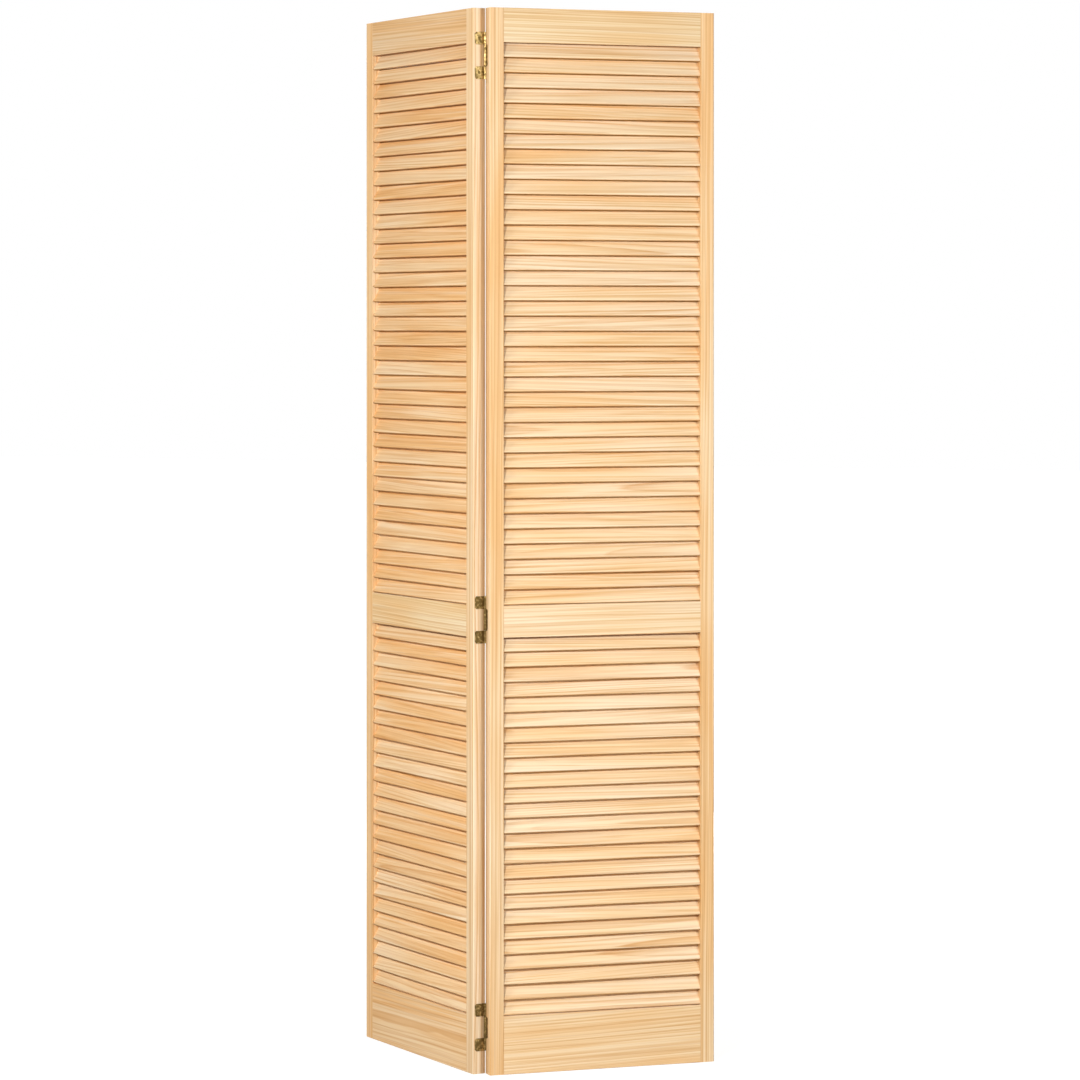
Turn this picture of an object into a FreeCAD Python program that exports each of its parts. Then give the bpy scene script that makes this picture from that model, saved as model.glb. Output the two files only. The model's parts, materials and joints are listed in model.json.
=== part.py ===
import FreeCAD
import Part
import math
import os

# Louvred bifold door in pine: two equal leaves of fixed slats, hinged edge to edge, half folded.
# Millimetres, +Z up. The origin is on the floor below the middle of the folded pair.
# The hinged edges point towards -Y, and the hinge barrels are let into their rear corners.
# A leaf is drawn flat on the right of the hinge pin, with its front face towards -Y, and then
# turned to its place. The left leaf is its mirror image.

# Leaf
LEAF_HEIGHT = 2006.6
LEAF_WIDTH = 450.85
LEAF_THICKNESS = 25.4
STILE_WIDTH = 28.0
TOP_RAIL_HEIGHT = 65.5
MID_RAIL_HEIGHT = 60.0
MID_RAIL_CENTRE = 851.5
BOTTOM_RAIL_HEIGHT = 109.5
FRONT_EDGE_RADIUS = 2.4
REAR_EDGE_RADIUS = 0.5
INNER_EDGE_RADIUS = 0.8

# Slats, which lean back with their front edge low
SLAT_WIDTH = 34.3
SLAT_THICKNESS = 6.5
SLAT_EDGE_CHAMFER = 2.0
SLAT_LEAN_DEG = 30.0
SLAT_SPACING = 28.575
SLAT_SILL_GAP = 0.4
HOUSING_DEPTH = 6.0
HOUSING_CLEARANCE = 0.15
SLAT_END_CLEARANCE = 0.5

# Pivot bores in the ends of the outer stiles
PIVOT_BORE_RADIUS = 4.7625
PIVOT_BORE_DEPTH = 44.5

# Hinges, with a pair of ears on the left leaf and an inner plate on the right leaf
FOLD_DEG = 79.34
HINGE_LENGTH = 88.9
HINGE_TOP_INSET = 45.0
HINGE_BOTTOM_INSET = 43.0
MIDDLE_HINGE_RISE = 3.0
EAR_HEIGHT = 23.8
EAR_REACH = 22.0
EAR_SCREW_INSET = 13.0
INNER_PLATE_REACH = 13.0
INNER_SCREW_INSET = 7.0
INNER_SCREW_SPACING = 22.0
SCREW_HOLE_RADIUS = 2.0
PLATE_THICKNESS = 1.0
PLATE_CLEARANCE = 0.2
PLATE_CORNER_CLIP = 3.0
KNUCKLE_RADIUS = 2.6
KNUCKLE_GAP = 0.5
BARREL_CLEARANCE = 0.25
PIN_OFFSET = 0.15
PIN_RADIUS = 1.2
PIN_CLEARANCE = 0.05

# Levels and planes of the flat leaf, measured from the hinge pin
HALF_FOLD_DEG = FOLD_DEG / 2
HINGE_EDGE_X = (PLATE_THICKNESS + PLATE_CLEARANCE) / 2
REAR_Y = -PIN_OFFSET
FRONT_Y = REAR_Y - LEAF_THICKNESS
MIDDLE_Y = (REAR_Y + FRONT_Y) / 2
OUTER_EDGE_X = HINGE_EDGE_X + LEAF_WIDTH
RAIL_START_X = HINGE_EDGE_X + STILE_WIDTH
RAIL_END_X = OUTER_EDGE_X - STILE_WIDTH
MID_RAIL_BOTTOM = MID_RAIL_CENTRE - MID_RAIL_HEIGHT / 2
MID_RAIL_TOP = MID_RAIL_CENTRE + MID_RAIL_HEIGHT / 2
TOP_RAIL_BOTTOM = LEAF_HEIGHT - TOP_RAIL_HEIGHT
LOWER_OPENING = (BOTTOM_RAIL_HEIGHT, MID_RAIL_BOTTOM)
UPPER_OPENING = (MID_RAIL_TOP, TOP_RAIL_BOTTOM)
TOUCH = 1e-6

UP = FreeCAD.Vector(0, 0, 1)
ACROSS = FreeCAD.Vector(1, 0, 0)


def pin_y():
    """Place of the hinge pin behind the origin, from the depth of the folded pair."""
    fold = math.radians(HALF_FOLD_DEG)
    near_x = HINGE_EDGE_X + FRONT_EDGE_RADIUS
    near_y = FRONT_Y + FRONT_EDGE_RADIUS
    far_x = OUTER_EDGE_X - REAR_EDGE_RADIUS
    far_y = REAR_Y - REAR_EDGE_RADIUS
    nearest = near_x * math.sin(fold) + near_y * math.cos(fold) - FRONT_EDGE_RADIUS
    farthest = far_x * math.sin(fold) + far_y * math.cos(fold) + REAR_EDGE_RADIUS
    return -(nearest + farthest) / 2


def fold_into_place(shape, side):
    """Turn a piece of the flat leaf into the folded pair: side 1 is the right leaf, -1 the left."""
    placed = shape.copy()
    if side < 0:
        placed = placed.mirror(FreeCAD.Vector(), ACROSS)
    placed.rotate(FreeCAD.Vector(), UP, side * HALF_FOLD_DEG)
    placed.translate(FreeCAD.Vector(0, pin_y(), 0))
    return placed


def block(x_start, x_end, z_start, z_end):
    """A board of the leaf's full thickness."""
    corner = FreeCAD.Vector(x_start, FRONT_Y, z_start)
    return Part.makeBox(x_end - x_start, LEAF_THICKNESS, z_end - z_start, corner)


def edges_at(solid, chosen):
    """The edges whose middle point is chosen."""
    return [edge for edge in solid.Edges if chosen(edge.CenterOfMass)]


def leaning(outline):
    """Turn corners along and across a slat's width to its lean, about its own centre."""
    lean = math.radians(SLAT_LEAN_DEG)
    rise = FreeCAD.Vector(0, math.sin(lean), math.cos(lean))
    face = FreeCAD.Vector(0, math.cos(lean), -math.sin(lean))
    return [rise * along + face * across for along, across in outline]


def slat_section():
    """Section of a slat, with its four long edges chamfered."""
    half_width = SLAT_WIDTH / 2
    half_thick = SLAT_THICKNESS / 2
    quarter = [
        (half_width, half_thick - SLAT_EDGE_CHAMFER),
        (half_width - SLAT_EDGE_CHAMFER, half_thick),
    ]
    half = quarter + [(-along, across) for along, across in reversed(quarter)]
    return leaning(half + [(-along, -across) for along, across in half])


def housing_section():
    """Section of the square-cornered slot that takes a slat."""
    half_width = SLAT_WIDTH / 2 + HOUSING_CLEARANCE
    half_thick = SLAT_THICKNESS / 2 + HOUSING_CLEARANCE
    side = [(half_width, half_thick), (-half_width, half_thick)]
    return leaning(side + [(-along, -across) for along, across in side])


def bar(section, x_start, x_end, level):
    """A straight bar of a leaning section, with its centre at the given level."""
    start = FreeCAD.Vector(x_start, MIDDLE_Y, level)
    corners = [start + corner for corner in section]
    end_face = Part.Face(Part.makePolygon(corners + corners[:1]))
    return end_face.extrude(ACROSS * (x_end - x_start))


def slat_levels(opening):
    """Centres of the slats that fill an opening, evenly spaced from the rail below it."""
    bottom, top = opening
    count = round((top - bottom) / SLAT_SPACING)
    spacing = (top - bottom) / count
    half_rise = max(corner.z for corner in slat_section())
    lowest = bottom + SLAT_SILL_GAP + half_rise
    return [lowest + spacing * index for index in range(count)]


def slats(opening):
    """One bank of slats, with their ends let into the stiles."""
    let_in = HOUSING_DEPTH - SLAT_END_CLEARANCE
    x_start = RAIL_START_X - let_in
    x_end = RAIL_END_X + let_in
    section = slat_section()
    return Part.makeCompound([bar(section, x_start, x_end, level) for level in slat_levels(opening)])


def stile(inner_x, outer_x):
    """An upright with eased edges and a slanted housing for the end of each slat."""
    upright = block(min(inner_x, outer_x), max(inner_x, outer_x), 0, LEAF_HEIGHT)
    roundings = [
        (FRONT_EDGE_RADIUS, outer_x, FRONT_Y),
        (REAR_EDGE_RADIUS, outer_x, REAR_Y),
        (INNER_EDGE_RADIUS, inner_x, FRONT_Y),
        (INNER_EDGE_RADIUS, inner_x, REAR_Y),
    ]
    for radius, x, y in roundings:
        middle = FreeCAD.Vector(x, y, LEAF_HEIGHT / 2)
        corner = edges_at(upright, lambda point: point.isEqual(middle, TOUCH))
        upright = upright.makeFillet(radius, corner)
    inward = math.copysign(1.0, outer_x - inner_x)
    housing_end = inner_x + inward * HOUSING_DEPTH
    housing_mouth = inner_x - inward * HOUSING_DEPTH
    levels = slat_levels(LOWER_OPENING) + slat_levels(UPPER_OPENING)
    section = housing_section()
    housings = [bar(section, housing_mouth, housing_end, level) for level in levels]
    return upright.cut(Part.makeCompound(housings))


def outer_stile(bored_ends):
    """The stile away from the hinges, with pivot bores in the ends that are named."""
    upright = stile(RAIL_END_X, OUTER_EDGE_X)
    centre_x = (RAIL_END_X + OUTER_EDGE_X) / 2
    starts = {"top": (LEAF_HEIGHT, -UP), "bottom": (0, UP)}
    for end in bored_ends:
        level, inward = starts[end]
        mouth = FreeCAD.Vector(centre_x, MIDDLE_Y, level)
        upright = upright.cut(Part.makeCylinder(PIVOT_BORE_RADIUS, PIVOT_BORE_DEPTH, mouth, inward))
    return upright


def hinge_stile():
    """The stile at the hinges, with its rear corner rebated for each hinge's barrel."""
    upright = stile(RAIL_START_X, HINGE_EDGE_X)
    room = KNUCKLE_RADIUS + BARREL_CLEARANCE
    length = HINGE_LENGTH + 2 * BARREL_CLEARANCE
    for bottom in hinge_bottoms().values():
        corner = FreeCAD.Vector(0, -room, bottom - BARREL_CLEARANCE)
        upright = upright.cut(Part.makeBox(room, room, length, corner))
    return upright


def rail(bottom, top, eased_levels, opening_below=None):
    """A rail between the stiles, grooved below where it takes the back edge of the top slat."""
    board = block(RAIL_START_X, RAIL_END_X, bottom, top)
    middle_x = (RAIL_START_X + RAIL_END_X) / 2

    def long_edge_at_opening(point):
        lengthwise = abs(point.x - middle_x) < TOUCH
        return lengthwise and any(abs(point.z - level) < TOUCH for level in eased_levels)

    board = board.makeFillet(INNER_EDGE_RADIUS, edges_at(board, long_edge_at_opening))
    if opening_below:
        top_slat = slat_levels(opening_below)[-1]
        board = board.cut(bar(housing_section(), RAIL_START_X, RAIL_END_X, top_slat))
    return board


def hinge_bottoms():
    """Level of each hinge's lower end by name."""
    return {
        "top": LEAF_HEIGHT - HINGE_TOP_INSET - HINGE_LENGTH,
        "middle": MID_RAIL_CENTRE + MIDDLE_HINGE_RISE - HINGE_LENGTH / 2,
        "bottom": HINGE_BOTTOM_INSET,
    }


def hinge_plate(bottom, top, reach, screw_inset, screw_levels):
    """A brass plate on the leaf's edge with its knuckle, still solid, and its screw holes."""
    height = top - bottom
    free_y = REAR_Y - reach
    corner = FreeCAD.Vector(HINGE_EDGE_X - PLATE_THICKNESS, free_y, bottom)
    plate = Part.makeBox(PLATE_THICKNESS, -free_y, height, corner)
    middle_x = HINGE_EDGE_X - PLATE_THICKNESS / 2

    def free_corner(point):
        return abs(point.x - middle_x) < TOUCH and abs(point.y - free_y) < TOUCH

    plate = plate.makeChamfer(PLATE_CORNER_CLIP, edges_at(plate, free_corner))
    plate = plate.fuse(Part.makeCylinder(KNUCKLE_RADIUS, height, UP * bottom))
    for level in screw_levels:
        seat = FreeCAD.Vector(HINGE_EDGE_X, REAR_Y - screw_inset, level)
        plate = plate.cut(Part.makeCylinder(SCREW_HOLE_RADIUS, PLATE_THICKNESS, seat, -ACROSS))
    return plate


def ears(bottom, top):
    """The pair of ears for the left leaf, with the pin fixed in their knuckles."""
    pair = Part.makeCylinder(PIN_RADIUS, top - bottom - EAR_HEIGHT, UP * (bottom + EAR_HEIGHT / 2))
    for start in (bottom, top - EAR_HEIGHT):
        centre = start + EAR_HEIGHT / 2
        pair = pair.fuse(hinge_plate(start, start + EAR_HEIGHT, EAR_REACH, EAR_SCREW_INSET, [centre]))
    return pair


def inner_plate(bottom, top):
    """The plate for the right leaf, which turns on the pin between the ears."""
    start = bottom + EAR_HEIGHT + KNUCKLE_GAP
    end = top - EAR_HEIGHT - KNUCKLE_GAP
    centre = (bottom + top) / 2
    screw_levels = [centre - INNER_SCREW_SPACING / 2, centre + INNER_SCREW_SPACING / 2]
    plate = hinge_plate(start, end, INNER_PLATE_REACH, INNER_SCREW_INSET, screw_levels)
    return plate.cut(Part.makeCylinder(PIN_RADIUS + PIN_CLEARANCE, end - start, UP * start))


def leaf(bored_ends):
    """The flat leaf's pieces by name."""
    return {
        "outer_stile": outer_stile(bored_ends),
        "hinge_stile": hinge_stile(),
        "top_rail": rail(TOP_RAIL_BOTTOM, LEAF_HEIGHT, [TOP_RAIL_BOTTOM], UPPER_OPENING),
        "mid_rail": rail(MID_RAIL_BOTTOM, MID_RAIL_TOP, [MID_RAIL_BOTTOM, MID_RAIL_TOP], LOWER_OPENING),
        "bottom_rail": rail(0, BOTTOM_RAIL_HEIGHT, [BOTTOM_RAIL_HEIGHT]),
        "upper_slats": slats(UPPER_OPENING),
        "lower_slats": slats(LOWER_OPENING),
    }


def door():
    """Every piece of the folded pair by name."""
    pieces = {}
    for name, side, bored_ends in (("right", 1, ("top", "bottom")), ("left", -1, ("top",))):
        for piece, shape in leaf(bored_ends).items():
            pieces[f"{name}_{piece}"] = fold_into_place(shape, side)
    for name, bottom in hinge_bottoms().items():
        top = bottom + HINGE_LENGTH
        pieces[f"{name}_hinge_ears"] = fold_into_place(ears(bottom, top), -1)
        pieces[f"{name}_hinge_plate"] = fold_into_place(inner_plate(bottom, top), 1)
    return pieces


os.makedirs("parts", exist_ok=True)
for node, shape in door().items():
    shape.exportStep(os.path.join("parts", node + ".step"))
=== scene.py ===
"""Louvred bifold door: pine boards, slats, brass hinges with their screws, and a plain studio."""

import json
import math

import bmesh
import bpy
from bpy.props import FloatProperty, FloatVectorProperty, IntProperty, PointerProperty
from mathutils import Matrix, Vector


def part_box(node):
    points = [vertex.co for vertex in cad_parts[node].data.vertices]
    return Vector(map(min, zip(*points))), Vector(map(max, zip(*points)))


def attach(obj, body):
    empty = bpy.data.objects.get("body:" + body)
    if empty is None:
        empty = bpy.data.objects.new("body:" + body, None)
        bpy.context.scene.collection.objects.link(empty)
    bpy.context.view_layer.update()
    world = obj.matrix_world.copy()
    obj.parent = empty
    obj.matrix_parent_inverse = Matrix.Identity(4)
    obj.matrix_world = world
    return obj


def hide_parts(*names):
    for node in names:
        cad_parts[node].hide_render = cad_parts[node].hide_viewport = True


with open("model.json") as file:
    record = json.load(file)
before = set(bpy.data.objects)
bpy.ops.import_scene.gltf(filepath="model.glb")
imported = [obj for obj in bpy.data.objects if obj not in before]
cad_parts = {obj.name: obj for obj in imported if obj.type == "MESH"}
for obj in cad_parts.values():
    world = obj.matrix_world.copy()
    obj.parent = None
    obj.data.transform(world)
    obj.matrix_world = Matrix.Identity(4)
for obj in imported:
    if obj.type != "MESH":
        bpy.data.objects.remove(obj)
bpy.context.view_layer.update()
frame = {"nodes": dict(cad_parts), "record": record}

bl_info = {
    "name": "Louvred Bifold Door",
    "version": (1, 0, 0),
    "blender": (4, 5, 0),
    "location": "View3D > Sidebar > Door",
    "description": "Slats, pine and brass finishes, hinge screws and studio for a louvred bifold door",
    "category": "Object",
}

# Lengths are in metres.
BODY = "root"
SIDES = {"right": 1, "left": -1}
UP = Vector((0, 0, 1))
WHITE = (1.0, 1.0, 1.0, 1.0)

# Board: place of the heart of the log across and below the board's face, slope of the grain,
# tone from cream to honey, strength of the growth rings.
BOARDS = {
    "right_hinge_stile": ((-0.024, 0.016), 0.004, 0.68, 0.95),
    "right_outer_stile": ((0.075, 0.030), 0.006, 0.80, 0.95),
    "right_top_rail": ((0.110, 0.030), -0.012, 0.54, 0.95),
    "right_mid_rail": ((-0.120, 0.055), 0.008, 0.22, 0.80),
    "right_bottom_rail": ((0.095, 0.040), 0.030, 0.36, 0.90),
    "left_hinge_stile": ((0.055, 0.045), -0.005, 0.50, 0.95),
    "left_outer_stile": ((-0.060, 0.035), 0.004, 0.80, 0.95),
    "left_top_rail": ((-0.100, 0.040), 0.012, 0.80, 1.00),
    "left_mid_rail": ((0.090, 0.050), 0.010, 0.52, 0.90),
    "left_bottom_rail": ((-0.004, 0.062), -0.016, 0.62, 1.00),
}
# Distance along the log from one board's wood to the next one's.
LOG_SPACING = 3.0
# Boards of duller wood, with the factor on their colour.
DULL_BOARDS = {
    "right_hinge_stile": (0.965, 0.975, 1.0, 1.0),
    "right_top_rail": (0.92, 0.97, 1.0, 1.0),
    "left_hinge_stile": (0.95, 0.97, 1.0, 1.0),
    "left_top_rail": (0.90, 0.93, 1.0, 1.0),
    "left_mid_rail": (0.96, 1.0, 1.0, 1.0),
}
# Stiles given a paler tone on their face towards the pin, as painted light that takes out the warm
# colour of light bounced between the wooden faces there, and the change of tone there.
PALE_EDGES = ("right_hinge_stile", "left_hinge_stile", "left_outer_stile")
PALE_EDGE_TONE = -0.40

# Warm darkening where little light gets in, as factors on the wood's colour.
UNDERSIDE_SHADE = (0.40, 0.22, 0.07, 1.0)
SEAM_SHADE = (0.80, 0.77, 0.71, 1.0)
GAP_SHADE = (0.62, 0.54, 0.44, 1.0)
OVERLAP_SHADE = (0.42, 0.25, 0.042, 1.0)
# Distance from a face within which a point counts as on it.
SKIN = 0.0004

# Banks of slats in a leaf, each with the rails below and above it.
BANKS = {"lower": ("bottom_rail", "mid_rail"), "upper": ("mid_rail", "top_rail")}
# Tone of each leaf's slats. The right leaf's paler tone is partly a paler wood and partly painted light:
# the washed-out look of that more brightly lit leaf.
SLAT_TONES = {"right": 0.28, "left": 0.66}
# Lowest and highest values of what varies from slat to slat: its place in the log, the slope of its
# grain, and its tint, which holds the change of tone and the strength of the growth rings.
SLAT_VARIETY = {
    "slat_heart": ((0, -0.120, 0.010), (9, 0.120, 0.070)),
    "slat_slope": ((0, -0.035, -0.02), (0, 0.035, 0.02)),
    "slat_tint": ((-0.18, 0.35, 0), (0.18, 1.00, 0)),
}
# Distance between the seeds of two banks.
SEED_STEP = 10

# Hinges, with the wear of each one's brass, and the wear of the screws.
HINGES = {"top": 0.03, "middle": 0.16, "bottom": 0.12}
SCREW_WEAR = 0.18

# Lamp: degrees right of the door's front, distance and height from the pin's foot, degrees of tilt
# downwards, size, colour.
LAMPS = {
    "key": (4.0, 4.6, 2.15, 30.0, (0.6, 0.5), (1.0, 1.0, 1.0)),
    "side": (62.0, 4.6, 2.1, 30.0, (0.5, 0.5), (0.90, 0.95, 1.0)),
    "fill": (-30.0, 3.4, 2.2, 35.0, (0.7, 0.5), (1.0, 1.0, 1.0)),
    "back": (180.0, 4.0, 0.35, -9.0, (1.6, 0.4), (1.0, 1.0, 1.0)),
    "top": (180.0, 0.15, 4.2, 90.0, (0.6, 0.6), (1.0, 1.0, 1.0)),
}
FLOOR_REACH = 30.0
FLOOR_DROP = 0.0005


class SlatSettings(bpy.types.PropertyGroup):
    """Sizes and variety of the slats."""

    width: FloatProperty(
        name="Width", description="Width of a slat", default=0.0343, unit="LENGTH"
    )
    thickness: FloatProperty(
        name="Thickness", description="Thickness of a slat", default=0.0065, unit="LENGTH"
    )
    lean: FloatProperty(
        name="Lean", description="Lean of a slat from upright", default=math.radians(30), subtype="ANGLE"
    )
    spacing: FloatProperty(
        name="Spacing", description="Nominal rise from slat to slat", default=0.028575, unit="LENGTH"
    )
    roll: FloatProperty(
        name="Roll", description="Largest stray turn of a slat in its housing",
        default=math.radians(0.35), subtype="ANGLE",
    )
    seed: IntProperty(name="Seed", description="Seed for the variety of the slats", default=11)


class PineSettings(bpy.types.PropertyGroup):
    """Colours and figure of the pine."""

    cream: FloatVectorProperty(
        name="Cream", description="Palest wood",
        default=(0.95, 0.745, 0.50), subtype="COLOR", min=0, max=1,
    )
    straw: FloatVectorProperty(
        name="Straw", description="Usual wood",
        default=(0.93, 0.675, 0.39), subtype="COLOR", min=0, max=1,
    )
    honey: FloatVectorProperty(
        name="Honey", description="Deepest wood",
        default=(0.88, 0.53, 0.23), subtype="COLOR", min=0, max=1,
    )
    amber: FloatVectorProperty(
        name="Amber", description="Late wood of a ring",
        default=(0.66, 0.32, 0.09), subtype="COLOR", min=0, max=1,
    )
    ring_spacing: FloatProperty(
        name="Ring Spacing", description="Usual width of a growth ring", default=0.0054, unit="LENGTH"
    )


class HingeSettings(bpy.types.PropertyGroup):
    """Finish of the hinges and sizes of their screws."""

    brass: FloatVectorProperty(
        name="Brass", description="Bright brass",
        default=(0.54, 0.39, 0.16), subtype="COLOR", min=0, max=1,
    )
    tarnish: FloatVectorProperty(
        name="Tarnish", description="Dulled brass",
        default=(0.085, 0.052, 0.014), subtype="COLOR", min=0, max=1,
    )
    plate_thickness: FloatProperty(
        name="Plate Thickness", description="Thickness of a hinge plate", default=0.0010, unit="LENGTH"
    )
    ear_height: FloatProperty(
        name="Ear Height", description="Height of an ear", default=0.0238, unit="LENGTH"
    )
    ear_screw_inset: FloatProperty(
        name="Ear Screw Inset", description="Distance of an ear's screw from the leaf's rear face",
        default=0.013, unit="LENGTH",
    )
    inner_screw_inset: FloatProperty(
        name="Inner Screw Inset",
        description="Distance of the inner plate's screws from the leaf's rear face",
        default=0.007, unit="LENGTH",
    )
    inner_screw_spacing: FloatProperty(
        name="Inner Screw Spacing", description="Distance between the inner plate's screws",
        default=0.022, unit="LENGTH",
    )
    head_radius: FloatProperty(
        name="Head Radius", description="Radius of a screw's head", default=0.0033, unit="LENGTH"
    )
    head_height: FloatProperty(
        name="Head Height", description="Height of a screw's head over its plate",
        default=0.00015, unit="LENGTH",
    )
    screw_seed: IntProperty(name="Screw Seed", description="Seed for the turns of the screws", default=5)


class StudioSettings(bpy.types.PropertyGroup):
    """Camera, lamps and floor."""

    camera_from_pin: FloatVectorProperty(
        name="Camera", description="Place of the camera from the foot of the hinge pin",
        default=(2.76393, -6.80876, 1.4078), subtype="XYZ", unit="LENGTH",
    )
    camera_turn: FloatProperty(
        name="Camera Turn", description="Turn of the camera from the +Y axis",
        default=math.radians(21.291), subtype="ANGLE",
    )
    lens: FloatProperty(
        name="Lens", description="Focal length in millimetres", default=130.0, unit="CAMERA"
    )
    shift: FloatProperty(name="Shift", description="Upright shift of the camera", default=-0.19817)
    key_power: FloatProperty(name="Key", description="Key lamp in front", default=156.0, unit="POWER")
    side_power: FloatProperty(name="Side", description="Lamp on the right", default=88.0, unit="POWER")
    fill_power: FloatProperty(name="Fill", description="Lamp on the left", default=56.0, unit="POWER")
    back_power: FloatProperty(name="Back", description="Low lamp behind", default=78.0, unit="POWER")
    top_power: FloatProperty(name="Top", description="Lamp over the door", default=26.0, unit="POWER")
    sky: FloatProperty(name="Sky", description="Strength of the light from all round", default=0.06)
    floor: FloatVectorProperty(
        name="Floor", description="Colour of the floor",
        default=(0.36, 0.36, 0.36), subtype="COLOR", min=0, max=1,
    )


def side_of(node):
    """1 for a node of the right leaf, -1 for one of the left leaf."""
    return SIDES[node.split("_")[0]]


def mount_place(name):
    """Place of one of the record's mounts."""
    return next(Vector(mount["pos_m"]) for mount in frame["record"]["mounts"] if mount["name"] == name)


def pin_foot():
    """Foot of the hinge pin, from the knuckle of a hinge's inner plate."""
    low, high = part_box("middle_hinge_plate")
    knuckle_radius = -low.x
    return Vector((0, high.y - knuckle_radius, 0))


def leaf_frame(side):
    """Matrix from the flat leaf, with the hinge pin at its origin, to its place in the folded pair."""
    run = mount_place("top_pivot_bore") - mount_place("right_floor_face")
    half_fold = math.atan2(run.y, run.x)
    mirrored = Matrix.Diagonal((side, 1, 1, 1))
    return Matrix.Translation(pin_foot()) @ mirrored @ Matrix.Rotation(half_fold, 4, "Z")


def leaf_direction(side, direction):
    """A direction of the flat leaf, as it is in the folded pair."""
    return (leaf_frame(side).to_3x3() @ Vector(direction)).normalized()


def leaf_box(node):
    """Lowest and highest corner of a leaf's CAD node in the flat leaf."""
    back = leaf_frame(side_of(node)).inverted()
    points = [back @ vertex.co for vertex in frame["nodes"][node].data.vertices]
    low = Vector(min(point[axis] for point in points) for axis in range(3))
    high = Vector(max(point[axis] for point in points) for axis in range(3))
    return low, high


def feed(tree, node, inputs):
    """Give each of these inputs of a node a value or a link."""
    for name, value in inputs.items():
        if isinstance(value, bpy.types.NodeSocket):
            tree.links.new(value, node.inputs[name])
        else:
            node.inputs[name].default_value = value


def put(tree, kind, inputs=None, **settings):
    """Add a node with its settings and its inputs."""
    node = tree.nodes.new(kind)
    for name, value in settings.items():
        setattr(node, name, value)
    feed(tree, node, inputs or {})
    return node


def sums(tree, operation, *values, clamp=False):
    """Output of a Math node."""
    inputs = dict(enumerate(values))
    return put(tree, "ShaderNodeMath", inputs, operation=operation, use_clamp=clamp).outputs[0]


def vectors(tree, operation, *values):
    """Output of a Vector Math node."""
    node = put(tree, "ShaderNodeVectorMath", dict(enumerate(values)), operation=operation)
    return node.outputs["Value" if operation in ("LENGTH", "DOT_PRODUCT") else "Vector"]


def axes(tree, vector):
    """Outputs x, y and z of a vector."""
    return put(tree, "ShaderNodeSeparateXYZ", {0: vector}).outputs


def fade(tree, value, start, end, low=0.0):
    """Output of a Map Range node, low at the start and 1 at the end."""
    inputs = {"Value": value, "From Min": start, "From Max": end, "To Min": low, "To Max": 1.0}
    return put(tree, "ShaderNodeMapRange", inputs).outputs[0]


def blend(tree, factor, first, second, kind="MIX"):
    """Output of a colour Mix node."""
    inputs = {0: factor, 6: first, 7: second}
    return put(tree, "ShaderNodeMix", inputs, data_type="RGBA", blend_type=kind).outputs[2]


def ramp(tree, value, stops):
    """Output of a colour ramp over (position, colour) stops."""
    node = put(tree, "ShaderNodeValToRGB", {0: value})
    band = node.color_ramp
    while len(band.elements) < len(stops):
        band.elements.new(1.0)
    for element, (position, colour) in zip(band.elements, stops):
        element.position = position
        element.color = (*colour, 1.0)
    return node.outputs[0]


def curve(tree, value, stops):
    """Output of a grey ramp over (position, level) stops."""
    return ramp(tree, value, [(position, (level,) * 3) for position, level in stops])


def noise(tree, place, waves, detail=2.0, roughness=0.5):
    """Noise node on a place, with so many waves a metre along each axis."""
    stretched = vectors(tree, "MULTIPLY", place, waves)
    inputs = {"Vector": stretched, "Scale": 1.0, "Detail": detail, "Roughness": roughness}
    return put(tree, "ShaderNodeTexNoise", inputs)


def bump(tree, height, strength, distance):
    """Output of a Bump node."""
    inputs = {"Strength": strength, "Distance": distance, "Height": height}
    return put(tree, "ShaderNodeBump", inputs).outputs[0]


def object_place(tree):
    """Place of a point in its object."""
    return put(tree, "ShaderNodeTexCoord").outputs["Object"]


def leaf_reach(tree, side):
    """Distance of a point from the hinge pin along its leaf."""
    from_pin = vectors(tree, "SUBTRACT", object_place(tree), pin_foot())
    return vectors(tree, "DOT_PRODUCT", from_pin, leaf_direction(side, (1, 0, 0)))


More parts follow.
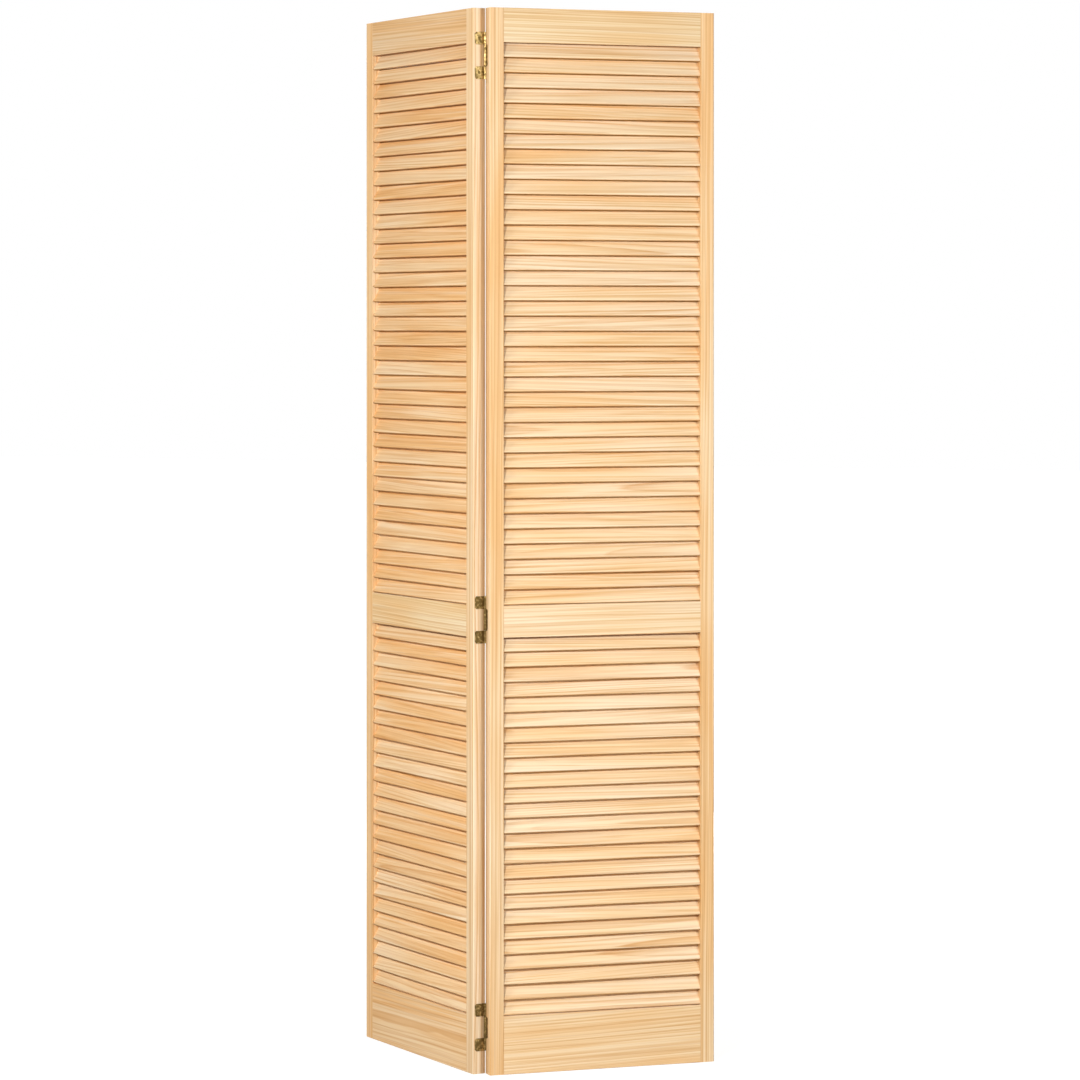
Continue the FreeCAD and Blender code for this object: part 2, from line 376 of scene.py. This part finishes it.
def pine_figure():
    """Node group that draws the wood of a log whose heart lies along x at the origin."""
    name = "pine_figure"
    if name in bpy.data.node_groups:
        return bpy.data.node_groups[name]
    pine = bpy.context.scene.door_pine
    cream, amber = (*pine.cream, 1.0), (*pine.amber, 1.0)
    tree = bpy.data.node_groups.new(name, "ShaderNodeTree")
    for socket, way, kind in (
        ("Place", "INPUT", "Vector"), ("Tone", "INPUT", "Float"), ("Figure", "INPUT", "Float"),
        ("Colour", "OUTPUT", "Color"), ("Roughness", "OUTPUT", "Float"), ("Relief", "OUTPUT", "Float"),
    ):
        tree.interface.new_socket(socket, in_out=way, socket_type="NodeSocket" + kind)
    given = put(tree, "NodeGroupInput").outputs
    place = given["Place"]

    # Rings about the heart, pushed aside by slow and quick bends, and of uneven width.
    centred = (0.5, 0.5, 0.5)
    slow_push, quick_push = (0, 0.020, 0.020), (0, 0.0016, 0.0016)
    slow = vectors(tree, "SUBTRACT", noise(tree, place, (1.3, 9, 9), 1.5).outputs[1], centred)
    quick = vectors(tree, "SUBTRACT", noise(tree, place, (9, 70, 70), 2.0).outputs[1], centred)
    bent = vectors(tree, "MULTIPLY_ADD", slow, slow_push, place)
    bent = vectors(tree, "MULTIPLY_ADD", quick, quick_push, bent)
    radius = vectors(tree, "LENGTH", vectors(tree, "MULTIPLY", bent, (0, 1, 1)))
    rings = sums(tree, "DIVIDE", radius, pine.ring_spacing)
    waves_a_ring, unevenness = 0.37, 2.2
    inputs = {"W": rings, "Scale": waves_a_ring, "Detail": 1.0}
    uneven = put(tree, "ShaderNodeTexNoise", inputs, noise_dimensions="1D").outputs[0]
    rings = sums(tree, "MULTIPLY_ADD", uneven, unevenness, rings)

    # Late wood towards the end of each ring, stronger in some years than in others.
    season = [(0.0, 0.10), (0.10, 0.0), (0.45, 0.08), (0.80, 0.62), (0.93, 1.0), (1.0, 0.10)]
    weakest_year = 0.35
    year = put(tree, "ShaderNodeTexWhiteNoise", {"W": sums(tree, "FLOOR", rings)}, noise_dimensions="1D")
    strength = sums(tree, "MULTIPLY_ADD", year.outputs[0], 1.0 - weakest_year, weakest_year)
    late = sums(tree, "MULTIPLY", curve(tree, sums(tree, "FRACT", rings), season), strength)

    # Tone that drifts in patches, then the rings, warm and pale streaks, and the pores.
    tone_drift = 0.9
    ring_share, warm_share, pale_share = 0.85, 0.26, 0.45
    pore_colour = (0.86, 0.74, 0.58)
    fibre = noise(tree, place, (2.2, 220, 220), 3.0, 0.6).outputs[0]
    streak = noise(tree, place, (1.1, 150, 150), 3.0, 0.6).outputs[0]
    patch = noise(tree, place, (2.4, 16, 16), 2.0).outputs[0]
    drift = sums(tree, "MULTIPLY_ADD", patch, 2 * tone_drift, -tone_drift)
    tone = sums(tree, "ADD", given["Tone"], drift, clamp=True)
    colour = ramp(tree, tone, [(0.05, pine.cream), (0.45, pine.straw), (0.95, pine.honey)])
    depth = sums(tree, "MULTIPLY", late, given["Figure"])
    colour = blend(tree, sums(tree, "MULTIPLY", depth, ring_share), colour, amber)
    warm = curve(tree, streak, [(0.50, 0.0), (0.66, 1.0)])
    colour = blend(tree, sums(tree, "MULTIPLY", warm, warm_share), colour, amber)
    pale = curve(tree, streak, [(0.34, 1.0), (0.48, 0.0)])
    colour = blend(tree, sums(tree, "MULTIPLY", pale, pale_share), colour, cream)
    pores = ramp(tree, fibre, [(0.30, pore_colour), (0.52, WHITE[:3])])
    colour = blend(tree, 1.0, colour, pores, "MULTIPLY")

    # Late wood is smoother, and stands proud.
    plain_roughness, fibre_roughness, late_roughness, late_relief = 0.46, 0.22, -0.08, 0.5
    roughness = sums(tree, "MULTIPLY_ADD", fibre, fibre_roughness, plain_roughness)
    roughness = sums(tree, "MULTIPLY_ADD", late, late_roughness, roughness)
    relief = sums(tree, "MULTIPLY_ADD", late, late_relief, fibre)
    put(tree, "NodeGroupOutput", {"Colour": colour, "Roughness": roughness, "Relief": relief})
    return tree


def finish_tree(name):
    """A new material with only a Principled shader, and that shader."""
    material = bpy.data.materials.new(name)
    material.use_nodes = True
    tree = material.node_tree
    tree.nodes.clear()
    shader = put(tree, "ShaderNodeBsdfPrincipled")
    put(tree, "ShaderNodeOutputMaterial", {"Surface": shader.outputs[0]})
    return material, tree, shader


def edge_tone(tree, side, edge, tone):
    """Tone of a stile, paler as painted light on its face towards the pin and at the corner beside it.
    """
    arris = 0.0014
    planed = fade(tree, leaf_reach(tree, side), edge + arris, edge + SKIN)
    return sums(tree, "MULTIPLY_ADD", planed, PALE_EDGE_TONE, tone)


def underside_shade(tree, foot):
    """Darkening of a rail's underside."""
    height = axes(tree, object_place(tree))[2]
    return blend(tree, sums(tree, "LESS_THAN", height, foot + SKIN), WHITE, UNDERSIDE_SHADE)


def seam_shade(tree, side, face):
    """Darkening of a stile's face towards the slats."""
    on_face = sums(tree, "COMPARE", leaf_reach(tree, side), face, SKIN)
    return blend(tree, on_face, WHITE, SEAM_SHADE)


def gap_shade(tree):
    """Darkening towards the bottom of the gap between the hinged edges."""
    # Distances from the pin at which the shade begins and is full.
    clear, deepest = 0.016, 0.004
    from_pin = vectors(tree, "SUBTRACT", object_place(tree), pin_foot())
    reach = vectors(tree, "LENGTH", vectors(tree, "MULTIPLY", from_pin, (1, 1, 0)))
    deep = fade(tree, reach, clear, deepest)
    in_front = sums(tree, "LESS_THAN", axes(tree, from_pin)[1], 0.0)
    return blend(tree, sums(tree, "MULTIPLY", deep, in_front), WHITE, GAP_SHADE)


def overlap_shade(tree, own):
    """Darkening of a slat where the next one overlaps it, and under its own nose."""
    # Distances across the slat and through it, from its middle, at which the shade begins and is full.
    clear, covered = 0.0120, 0.0140
    nose_front, nose_back = -0.0023, -0.0003
    _, across, depth = axes(tree, own)
    overlapped = fade(tree, across, clear, covered)
    lowest = fade(tree, across, -clear, -covered)
    under_nose = sums(tree, "MULTIPLY", fade(tree, depth, nose_front, nose_back), lowest)
    return blend(tree, sums(tree, "MAXIMUM", overlapped, under_nose), WHITE, OVERLAP_SHADE)


def pine_shader(tree, shader, place, tone, figure, shades):
    """Give a shader the figure of pine at a place in the log, darkened by each of the shades."""
    inputs = {"Place": place, "Tone": tone, "Figure": figure}
    wood = put(tree, "ShaderNodeGroup", inputs, node_tree=pine_figure()).outputs
    colour = wood["Colour"]
    for shade in shades:
        colour = blend(tree, 1.0, colour, shade, "MULTIPLY")
    feed(tree, shader, {
        "Base Color": colour,
        "Roughness": wood["Roughness"],
        "Normal": bump(tree, wood["Relief"], strength=0.35, distance=0.0003),
        "Specular IOR Level": 0.3,
    })


def board_pine(node):
    """Pine for one board, with the grain along it."""
    heart, slope, tone, figure = BOARDS[node]
    side = side_of(node)
    low, high = leaf_box(node)
    is_stile = node.endswith("stile")
    is_hinged = "hinge" in node
    material, tree, shader = finish_tree(node + "_pine")

    run = leaf_direction(side, (1, 0, 0))
    front = leaf_direction(side, (0, -1, 0))
    along, across = (UP, run) if is_stile else (run, UP)
    along = (along + across * slope).normalized()
    depth = along.cross(across).normalized()
    if depth.dot(front) > 0:
        depth = -depth
    across = depth.cross(along)
    board = Matrix((along, across, depth))
    centre = leaf_frame(side) @ ((low + high) / 2)
    log_place = Vector((LOG_SPACING * list(BOARDS).index(node), *heart))
    place = put(tree, "ShaderNodeMapping", {
        "Vector": object_place(tree),
        "Rotation": board.to_euler("XYZ"),
        "Location": log_place - board @ centre,
    }).outputs[0]

    shades = []
    if not is_stile:
        shades.append(underside_shade(tree, low.z))
    elif side == SIDES["right"]:
        shades.append(seam_shade(tree, side, high.x if is_hinged else low.x))
    if is_hinged:
        shades.append(gap_shade(tree))
    if node in DULL_BOARDS:
        shades.append(DULL_BOARDS[node])
    if node in PALE_EDGES:
        tone = edge_tone(tree, side, low.x, tone)
    pine_shader(tree, shader, place, tone, figure, shades)
    return material


def slat_pine(leaf):
    """Pine that follows each slat's own attributes."""
    material, tree, shader = finish_tree(leaf + "_slat_pine")

    def read(name):
        return put(tree, "ShaderNodeAttribute", attribute_name=name).outputs["Vector"]

    own = read("slat_place")
    place = vectors(tree, "ADD", own, read("slat_heart"))
    place = vectors(tree, "MULTIPLY_ADD", read("slat_slope"), axes(tree, own)[0], place)
    tint, figure, _ = axes(tree, read("slat_tint"))
    tone = sums(tree, "ADD", tint, SLAT_TONES[leaf])
    pine_shader(tree, shader, place, tone, figure, [overlap_shade(tree, own)])
    return material


def brass_finish(name, wear):
    """Polished brass with faint brushing, and dull patches that spread with wear."""
    hinge = bpy.context.scene.door_hinge
    brass, tarnish = (*hinge.brass, 1.0), (*hinge.tarnish, 1.0)
    tarnish_share = 0.90
    polished, dull_roughness, brush_roughness = 0.26, 0.22, 0.12
    material, tree, shader = finish_tree(name)
    place = object_place(tree)
    patch = noise(tree, place, (190, 190, 150), 3.0, 0.6).outputs[0]
    brushed = noise(tree, place, (2600, 2600, 160), 2.0).outputs[0]
    dull = curve(tree, sums(tree, "ADD", patch, wear), [(0.38, 0.0), (0.66, 1.0)])
    roughness = sums(tree, "MULTIPLY_ADD", dull, dull_roughness, polished)
    feed(tree, shader, {
        "Base Color": blend(tree, sums(tree, "MULTIPLY", dull, tarnish_share), brass, tarnish),
        "Roughness": sums(tree, "MULTIPLY_ADD", brushed, brush_roughness, roughness),
        "Normal": bump(tree, brushed, strength=0.25, distance=0.00005),
        "Metallic": 1.0,
    })
    return material


def new_object(name, data):
    """An object at the origin of the scene."""
    made = bpy.data.objects.new(name, data)
    bpy.context.scene.collection.objects.link(made)
    return made


def wall(form, lower, upper):
    """Faces from one closed loop of vertices to another with as many."""
    count = len(lower)
    faces = []
    for step in range(count):
        beside = (step + 1) % count
        faces.append(form.faces.new((lower[step], lower[beside], upper[beside], upper[step])))
    return faces


def mesh_of(name, form):
    """Mesh from a bmesh, with doubles merged and faces pointing outwards."""
    bmesh.ops.remove_doubles(form, verts=form.verts, dist=1e-7)
    bmesh.ops.recalc_face_normals(form, faces=form.faces)
    mesh = bpy.data.meshes.new(name)
    form.to_mesh(mesh)
    form.free()
    return mesh


def node_sockets(tree, rows):
    """Named inputs of a Geometry Nodes tree, and its one output."""
    for name, kind in rows:
        tree.interface.new_socket(name, in_out="INPUT", socket_type="NodeSocket" + kind)
    tree.interface.new_socket("Geometry", in_out="OUTPUT", socket_type="NodeSocketGeometry")
    return put(tree, "NodeGroupInput").outputs


def end_tree(tree, instances, finish):
    """End a Geometry Nodes tree with its instances realized and given their material."""
    solid = put(tree, "GeometryNodeRealizeInstances", {0: instances}).outputs[0]
    dressed = put(tree, "GeometryNodeSetMaterial", {"Geometry": solid, "Material": finish}).outputs[0]
    put(tree, "NodeGroupOutput", {0: dressed})


def settle(made, tree, values):
    """Run a Geometry Nodes tree on an object and keep its result as the object's plain mesh."""
    modifier = made.modifiers.new(tree.name, "NODES")
    modifier.node_group = tree
    items = tree.interface.items_tree
    sockets = {item.name: item.identifier for item in items if item.in_out == "INPUT"}
    for name, value in values.items():
        modifier[sockets[name]] = value
    depsgraph = bpy.context.evaluated_depsgraph_get()
    mesh = bpy.data.meshes.new_from_object(
        made.evaluated_get(depsgraph), preserve_all_data_layers=True, depsgraph=depsgraph
    )
    if not mesh.polygons:
        raise RuntimeError(f"{made.name} came out empty")
    mesh.name = made.name
    made.modifiers.remove(modifier)
    made.data = mesh


def slat_bank_tree():
    """Geometry Nodes tree that stacks copies of one slat, each with its own wood."""
    name = "slat_bank"
    if name in bpy.data.node_groups:
        return bpy.data.node_groups[name]
    tree = bpy.data.node_groups.new(name, "GeometryNodeTree")
    given = node_sockets(tree, [
        ("Geometry", "Geometry"), ("Count", "Int"), ("Lowest", "Float"), ("Spacing", "Float"),
        ("Pivot", "Vector"), ("Axis", "Vector"), ("Roll", "Float"), ("Seed", "Int"),
        ("Finish", "Material"),
    ])
    index = put(tree, "GeometryNodeInputIndex").outputs[0]

    def random_vector(low, high, draw):
        seed = sums(tree, "ADD", given["Seed"], draw)
        inputs = {0: low, 1: high, "ID": index, "Seed": seed}
        return put(tree, "FunctionNodeRandomValue", inputs, data_type="FLOAT_VECTOR").outputs[0]

    start = put(tree, "ShaderNodeCombineXYZ", {2: given["Lowest"]}).outputs[0]
    start = vectors(tree, "ADD", start, given["Pivot"])
    rise = put(tree, "ShaderNodeCombineXYZ", {2: given["Spacing"]}).outputs[0]
    line = put(
        tree, "GeometryNodeMeshLine",
        {"Count": given["Count"], "Start Location": start, "Offset": rise}, mode="OFFSET",
    )
    stray = axes(tree, random_vector((-1, -1, -1), (1, 1, 1), 0))[0]
    roll = put(
        tree, "FunctionNodeAxisAngleToRotation",
        {"Axis": given["Axis"], "Angle": sums(tree, "MULTIPLY", stray, given["Roll"])},
    )
    bank = put(
        tree, "GeometryNodeInstanceOnPoints",
        {"Points": line.outputs[0], "Instance": given["Geometry"], "Rotation": roll.outputs[0]},
    ).outputs[0]
    for draw, (attribute, (low, high)) in enumerate(SLAT_VARIETY.items(), 1):
        bank = put(
            tree, "GeometryNodeStoreNamedAttribute",
            {"Geometry": bank, "Name": attribute, "Value": random_vector(low, high, draw)},
            data_type="FLOAT_VECTOR", domain="INSTANCE",
        ).outputs[0]
    end_tree(tree, bank, given["Finish"])
    return tree


def slat_mesh(name, side, length):
    """One round-edged slat about its centre, turned with its leaf, with each point's place in it."""
    slat = bpy.context.scene.door_slat
    half_round = slat.thickness / 2
    flat = slat.width / 2 - half_round
    steps = 6
    outline = []
    for end in (1, -1):
        for step in range(steps + 1):
            angle = math.pi * step / steps
            across = end * (flat + half_round * math.sin(angle))
            outline.append((across, end * half_round * math.cos(angle)))
    turn = leaf_frame(side).to_3x3()
    rise = Vector((0, math.sin(slat.lean), math.cos(slat.lean)))
    face = Vector((0, math.cos(slat.lean), -math.sin(slat.lean)))
    form = bmesh.new()
    own = form.verts.layers.float_vector.new("slat_place")
    rows = []
    for along in (-length / 2, length / 2):
        row = []
        for across, depth in outline:
            vert = form.verts.new(turn @ (Vector((along, 0, 0)) + rise * across + face * depth))
            vert[own] = Vector((along, across, depth))
            row.append(vert)
        rows.append(row)
    for index, strip in enumerate(wall(form, *rows)):
        strip.smooth = index % (steps + 1) != steps
    form.faces.new(rows[0])
    form.faces.new(reversed(rows[1]))
    for edge in form.edges:
        edge.smooth = all(linked.smooth for linked in edge.link_faces)
    return mesh_of(name, form)


def make_bank(leaf, bank, finish):
    """One bank of slats, as many as fit between its rails, in place of its CAD node."""
    slat = bpy.context.scene.door_slat
    side = SIDES[leaf]
    node = f"{leaf}_{bank}_slats"
    name = f"{leaf}_{bank}_louvres"
    below, above = BANKS[bank]
    opening = leaf_box(f"{leaf}_{above}")[0].z - leaf_box(f"{leaf}_{below}")[1].z
    count = round(opening / slat.spacing)
    spacing = opening / count
    low, high = leaf_box(node)
    middle = (low + high) / 2
    middle.z = 0
    number = list(BANKS).index(bank)
    if side == SIDES["right"]:
        number += len(BANKS)
    made = new_object(name, slat_mesh(name, side, high.x - low.x))
    settle(made, slat_bank_tree(), {
        "Count": count,
        "Lowest": (low.z + high.z - (count - 1) * spacing) / 2,
        "Spacing": spacing,
        "Pivot": leaf_frame(side) @ middle,
        "Axis": leaf_direction(side, (1, 0, 0)),
        "Roll": slat.roll,
        "Seed": slat.seed + SEED_STEP * number,
        "Finish": finish,
    })
    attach(made, BODY)
    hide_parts(node)


class DOOR_OT_boards(bpy.types.Operator):
    """Finish the stiles and rails in pine, each with its own grain"""

    bl_idname = "door.boards"
    bl_label = "Finish Boards"

    def execute(self, context):
        for node in BOARDS:
            frame["nodes"][node].material_slots[0].material = board_pine(node)
        return {"FINISHED"}


class DOOR_OT_slats(bpy.types.Operator):
    """Make the four banks of slats"""

    bl_idname = "door.slats"
    bl_label = "Make Slats"

    def execute(self, context):
        for leaf in SIDES:
            finish = slat_pine(leaf)
            for bank in BANKS:
                make_bank(leaf, bank, finish)
        return {"FINISHED"}


class DOOR_OT_hinges(bpy.types.Operator):
    """Finish the hinges in brass"""

    bl_idname = "door.hinges"
    bl_label = "Finish Hinges"

    def execute(self, context):
        for hinge, wear in HINGES.items():
            finish = brass_finish(hinge + "_hinge_brass", wear)
            for piece in ("ears", "plate"):
                frame["nodes"][f"{hinge}_hinge_{piece}"].material_slots[0].material = finish
        return {"FINISHED"}


def screw_mesh(name):
    """A low domed screw head of unit radius and height about the +Z axis, with a cross recess."""
    segments = 32
    # Radius and height of the head's rings, from its underside to the edge of its crown.
    dome = ((0.9, -0.3), (1.0, 0.0), (0.985, 0.25), (0.88, 0.62), (0.64, 0.92))
    crown = 1.0
    arm, half_arm, recess_floor, recess_taper = 0.55, 0.14, -5.0, 0.72
    cross = []
    for quarter in range(4):
        turn = Matrix.Rotation(quarter * math.pi / 2, 2)
        for corner in ((half_arm, half_arm), (half_arm, arm), (-half_arm, arm)):
            cross.append(turn @ Vector(corner))
    form = bmesh.new()

    def ring(radius, height):
        angles = [math.tau * step / segments for step in range(segments)]
        return [form.verts.new((radius * math.cos(a), radius * math.sin(a), height)) for a in angles]

    rings = [ring(radius, height) for radius, height in dome]
    for lower, upper in zip(rings, rings[1:]):
        for face in wall(form, lower, upper):
            face.smooth = True
    form.faces.new(reversed(rings[0]))
    rim = rings[-1]
    mouth = [form.verts.new((*corner, crown)) for corner in cross]
    base = [form.verts.new((*(corner * recess_taper), recess_floor)) for corner in cross]
    edges = [form.edges.new(pair) for pair in zip(mouth, mouth[1:] + mouth[:1])]
    edges += [form.edges.get(pair) for pair in zip(rim, rim[1:] + rim[:1])]
    bmesh.ops.triangle_fill(form, use_beauty=True, edges=edges)
    wall(form, mouth, base)
    form.faces.new(base)
    return mesh_of(name, form)


def screw_tree():
    """Geometry Nodes tree that sets a screw at each point, facing as the point says."""
    tree = bpy.data.node_groups.new("screw_set", "GeometryNodeTree")
    given = node_sockets(tree, [
        ("Geometry", "Geometry"), ("Screw", "Object"), ("Radius", "Float"), ("Height", "Float"),
        ("Seed", "Int"), ("Finish", "Material"),
    ])
    facing = put(
        tree, "GeometryNodeInputNamedAttribute", {"Name": "facing"}, data_type="FLOAT_VECTOR"
    ).outputs[0]
    index = put(tree, "GeometryNodeInputIndex").outputs[0]
    spin = put(
        tree, "FunctionNodeRandomValue",
        {2: 0.0, 3: math.tau, "ID": index, "Seed": given["Seed"]}, data_type="FLOAT",
    ).outputs[1]
    upright = put(tree, "FunctionNodeAlignRotationToVector", {"Vector": facing}, axis="Z").outputs[0]
    about = put(tree, "FunctionNodeAxisAngleToRotation", {"Axis": (0, 0, 1), "Angle": spin}).outputs[0]
    turned = put(
        tree, "FunctionNodeRotateRotation",
        {"Rotation": upright, "Rotate By": about}, rotation_space="LOCAL",
    ).outputs[0]
    size = put(
        tree, "ShaderNodeCombineXYZ", {0: given["Radius"], 1: given["Radius"], 2: given["Height"]}
    ).outputs[0]
    screw = put(tree, "GeometryNodeObjectInfo", {"Object": given["Screw"]}).outputs["Geometry"]
    placed = put(
        tree, "GeometryNodeInstanceOnPoints",
        {"Points": given["Geometry"], "Instance": screw, "Rotation": turned, "Scale": size},
    ).outputs[0]
    end_tree(tree, placed, given["Finish"])
    return tree


def screw_places():
    """Place of each screw on the face of its hinge plate, and the direction that it faces."""
    sizes = bpy.context.scene.door_hinge
    places = []
    for hinge in HINGES:
        low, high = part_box(f"{hinge}_hinge_ears")
        ear_spacing = high.z - low.z - sizes.ear_height
        for leaf, inset, spacing in (
            ("left", sizes.ear_screw_inset, ear_spacing),
            ("right", sizes.inner_screw_inset, sizes.inner_screw_spacing),
        ):
            side = SIDES[leaf]
            stile_low, stile_high = leaf_box(f"{leaf}_hinge_stile")
            face = stile_low.x - sizes.plate_thickness
            outwards = leaf_direction(side, (-1, 0, 0))
            for level in (low.z + high.z - spacing) / 2, (low.z + high.z + spacing) / 2:
                spot = leaf_frame(side) @ Vector((face, stile_high.y - inset, level))
                places.append((spot, outwards))
    return places


class DOOR_OT_screws(bpy.types.Operator):
    """Set the screws in the hinge plates"""

    bl_idname = "door.screws"
    bl_label = "Set Screws"

    def execute(self, context):
        sizes = context.scene.door_hinge
        places = screw_places()
        mesh = bpy.data.meshes.new("hinge_screws")
        mesh.from_pydata([spot for spot, _ in places], [], [])
        facing = mesh.attributes.new("facing", "FLOAT_VECTOR", "POINT")
        for row, (_, direction) in zip(facing.data, places):
            row.vector = direction
        made = new_object("hinge_screws", mesh)
        pattern = new_object("screw_pattern", screw_mesh("screw_pattern"))
        settle(made, screw_tree(), {
            "Screw": pattern,
            "Radius": sizes.head_radius,
            "Height": sizes.head_height,
            "Seed": sizes.screw_seed,
            "Finish": brass_finish("screw_brass", SCREW_WEAR),
        })
        bpy.data.objects.remove(pattern)
        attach(made, BODY)
        return {"FINISHED"}


def seen(tree):
    """1 for rays that show a surface, also in metal or glass, and 0 for rays that light others."""
    path = put(tree, "ShaderNodeLightPath").outputs
    shown = sums(tree, "MAXIMUM", path["Is Camera Ray"], path["Is Glossy Ray"])
    return sums(tree, "MAXIMUM", shown, path["Is Transmission Ray"])


def floor_finish(colour):
    """Pale floor that shows as white to the camera and still takes a shadow."""
    # Distances from the door between which the glow rises to white.
    near, far, near_glow = 1.0, 3.5, 0.78
    material, tree, shader = finish_tree("floor_paper")
    place = object_place(tree)
    tooth = noise(tree, place, (40, 40, 40), 3.0).outputs[0]
    glow = fade(tree, vectors(tree, "LENGTH", place), near, far, low=near_glow)
    feed(tree, shader, {
        "Base Color": (*colour, 1.0),
        "Roughness": 0.85,
        "Specular IOR Level": 0.1,
        "Normal": bump(tree, tooth, strength=0.05, distance=0.001),
        "Emission Color": WHITE,
        "Emission Strength": sums(tree, "MULTIPLY", seen(tree), glow),
    })
    return material


def make_floor(colour):
    """A wide floor just under the door."""
    reach = FLOOR_REACH
    corners = [(-reach, -reach, 0), (reach, -reach, 0), (reach, reach, 0), (-reach, reach, 0)]
    mesh = bpy.data.meshes.new("floor")
    mesh.from_pydata(corners, [], [(0, 1, 2, 3)])
    mesh.materials.append(floor_finish(colour))
    floor = new_object("floor", mesh)
    floor.location.z = -FLOOR_DROP


def studio_world(strength):
    """Even light from all round, in front of a white background."""
    world = bpy.data.worlds.new("studio")
    world.use_nodes = True
    tree = world.node_tree
    tree.nodes.clear()
    lit = put(tree, "ShaderNodeBackground", {"Color": WHITE, "Strength": strength})
    shown = put(tree, "ShaderNodeBackground", {"Color": WHITE, "Strength": 1.0})
    either = put(tree, "ShaderNodeMixShader", {0: seen(tree), 1: lit.outputs[0], 2: shown.outputs[0]})
    put(tree, "ShaderNodeOutputWorld", {"Surface": either.outputs[0]})
    return world


def soft_lamp(name, power, azimuth, distance, height, tilt, size, colour):
    """A rectangular soft lamp, so many degrees right of the door's front and tilted downwards."""
    lamp = bpy.data.lights.new(name, "AREA")
    lamp.shape = "RECTANGLE"
    lamp.size, lamp.size_y = size
    lamp.energy = power
    lamp.color = colour
    turn = math.radians(azimuth)
    made = new_object(name, lamp)
    made.location = pin_foot() + Vector((distance * math.sin(turn), -distance * math.cos(turn), height))
    made.rotation_euler = (math.radians(90 - tilt), 0, turn)


def make_camera(studio):
    """A level camera, shifted to take in the whole door."""
    camera = bpy.data.cameras.new("camera")
    camera.lens = studio.lens
    camera.sensor_width = 36.0
    camera.shift_y = studio.shift
    camera.clip_end = 100.0
    made = new_object("camera", camera)
    made.location = pin_foot() + Vector(studio.camera_from_pin)
    made.rotation_euler = (math.pi / 2, 0, studio.camera_turn)
    return made


class DOOR_OT_studio(bpy.types.Operator):
    """Set the floor, the lamps, the world and the camera"""

    bl_idname = "door.studio"
    bl_label = "Set Studio"

    def execute(self, context):
        scene = context.scene
        studio = scene.door_studio
        make_floor(studio.floor)
        scene.world = studio_world(studio.sky)
        for lamp, setting in LAMPS.items():
            soft_lamp(lamp + "_lamp", getattr(studio, lamp + "_power"), *setting)
        scene.camera = make_camera(studio)
        scene.view_settings.view_transform = "Standard"
        return {"FINISHED"}


class DOOR_PT_panel(bpy.types.Panel):
    """Louvred door's settings and steps"""

    bl_idname = "DOOR_PT_panel"
    bl_label = "Louvred Door"
    bl_space_type = "VIEW_3D"
    bl_region_type = "UI"
    bl_category = "Door"

    def draw(self, context):
        for group, steps in STEPS.items():
            box = self.layout.box()
            for step in steps:
                box.operator(step.bl_idname)
            settings = getattr(context.scene, group)
            for name in settings.bl_rna.properties.keys():
                if name not in ("rna_type", "name"):
                    box.prop(settings, name)


SETTINGS = {
    "door_pine": PineSettings,
    "door_slat": SlatSettings,
    "door_hinge": HingeSettings,
    "door_studio": StudioSettings,
}
# Steps under the settings that they use.
STEPS = {
    "door_pine": (DOOR_OT_boards,),
    "door_slat": (DOOR_OT_slats,),
    "door_hinge": (DOOR_OT_hinges, DOOR_OT_screws),
    "door_studio": (DOOR_OT_studio,),
}
STEP_CLASSES = [step for steps in STEPS.values() for step in steps]


def register():
    """Register the settings, the steps and the panel."""
    for name, settings in SETTINGS.items():
        bpy.utils.register_class(settings)
        setattr(bpy.types.Scene, name, PointerProperty(type=settings))
    for step in STEP_CLASSES:
        bpy.utils.register_class(step)
    bpy.utils.register_class(DOOR_PT_panel)


def unregister():
    """Undo the registration, in reverse."""
    bpy.utils.unregister_class(DOOR_PT_panel)
    for step in reversed(STEP_CLASSES):
        bpy.utils.unregister_class(step)
    for name, settings in reversed(SETTINGS.items()):
        delattr(bpy.types.Scene, name)
        bpy.utils.unregister_class(settings)


def main():
    """Register the classes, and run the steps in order."""
    register()
    bpy.ops.door.boards()
    bpy.ops.door.slats()
    bpy.ops.door.hinges()
    bpy.ops.door.screws()
    bpy.ops.door.studio()


if __name__ == "__main__":
    main()
